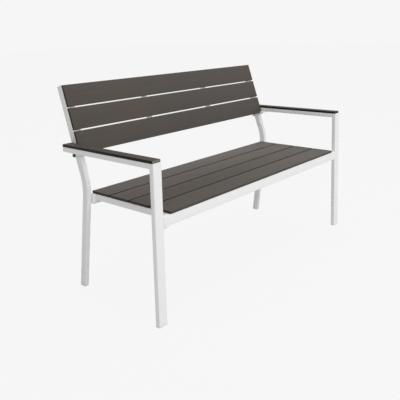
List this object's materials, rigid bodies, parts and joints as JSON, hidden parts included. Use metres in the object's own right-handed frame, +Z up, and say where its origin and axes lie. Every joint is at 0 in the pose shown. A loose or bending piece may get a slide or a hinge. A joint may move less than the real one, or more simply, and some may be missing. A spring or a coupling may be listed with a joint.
{
  "type": "convertible picnic table bench",
  "caption": "Garden bench with white tubular frame, brown slatted seat and arm rests, and a slatted back that folds down over the arms to a half picnic table.",
  "frame": {"origin": "middle of the bench's outline on the floor", "axes": "+X along the length to the right as seen from the front, +Y to the rear, so the seat faces -Y, +Z up"},
  "size_m": [1.33, 0.5772, 0.8291],
  "materials": {
    "frame_white": "satin",
    "slat_brown": "matt",
    "steel": "satin",
    "plastic_pale": "matt",
    "plastic_black": "matt",
    "nylon": "matt"
  },
  "bodies": {
    "frame": {"front_leg_left": "frame_white", "front_leg_right": "frame_white", "arm_tube_left": "frame_white", "arm_tube_right": "frame_white", "arm_slat_left": "slat_brown", "arm_slat_right": "slat_brown", "rear_leg_left": "frame_white", "rear_leg_right": "frame_white", "hinge_plate_left": "frame_white", "hinge_plate_right": "frame_white", "front_rail": "frame_white", "rear_rail": "frame_white", "seat_side_rail_left": "frame_white", "seat_bearer_left": "frame_white", "seat_bearer_right": "frame_white", "seat_side_rail_right": "frame_white", "seat_slat_1": "slat_brown", "seat_slat_2": "slat_brown", "seat_slat_3": "slat_brown", "seat_slat_4": "slat_brown", "rail_brackets": "frame_white", "rear_rail_plates": "frame_white", "front_glides": "plastic_pale", "rear_glides": "plastic_pale", "rear_leg_plugs": "plastic_pale", "arm_caps": "plastic_pale", "seat_slat_screws": "steel", "arm_slat_screws": "steel", "arm_horn_screws": "steel", "rail_bracket_bolts": "steel", "rear_rail_bolts": "steel", "hinge_plate_bolts": "steel", "pivot_bolts": "steel", "pivot_caps": "plastic_black", "pivot_nuts": "steel", "pivot_washers": "nylon"},
    "back": {"back_rail_left": "frame_white", "back_rail_right": "frame_white", "back_rail_flange_left": "frame_white", "back_rail_flange_right": "frame_white", "hinge_block_left": "frame_white", "hinge_block_right": "frame_white", "back_slat_1": "slat_brown", "back_slat_2": "slat_brown", "back_slat_3": "slat_brown", "back_strap_left": "frame_white", "back_strap_right": "frame_white", "back_rail_caps": "plastic_pale", "back_slat_screws": "steel"},
    "lock_left": {"lock_knob_left": "plastic_black", "lock_stud_left": "steel"},
    "lock_right": {"lock_knob_right": "plastic_black", "lock_stud_right": "steel"}
  },
  "joints": [
    {"name": "back_fold", "type": "hinge", "parent": "frame", "child": "back", "pos_m": [0, 0.20044, 0.552], "axis": [-1, 0, 0], "range_deg": [0, 71.5]},
    {"name": "lock_left_turn", "type": "hinge", "parent": "back", "child": "lock_left", "pos_m": [-0.591, 0.18993, 0.57133], "axis": [1, 0, 0], "range_deg": [0, 360]},
    {"name": "lock_right_turn", "type": "hinge", "parent": "back", "child": "lock_right", "pos_m": [0.591, 0.18993, 0.57133], "axis": [-1, 0, 0], "range_deg": [0, 360]}
  ]
}
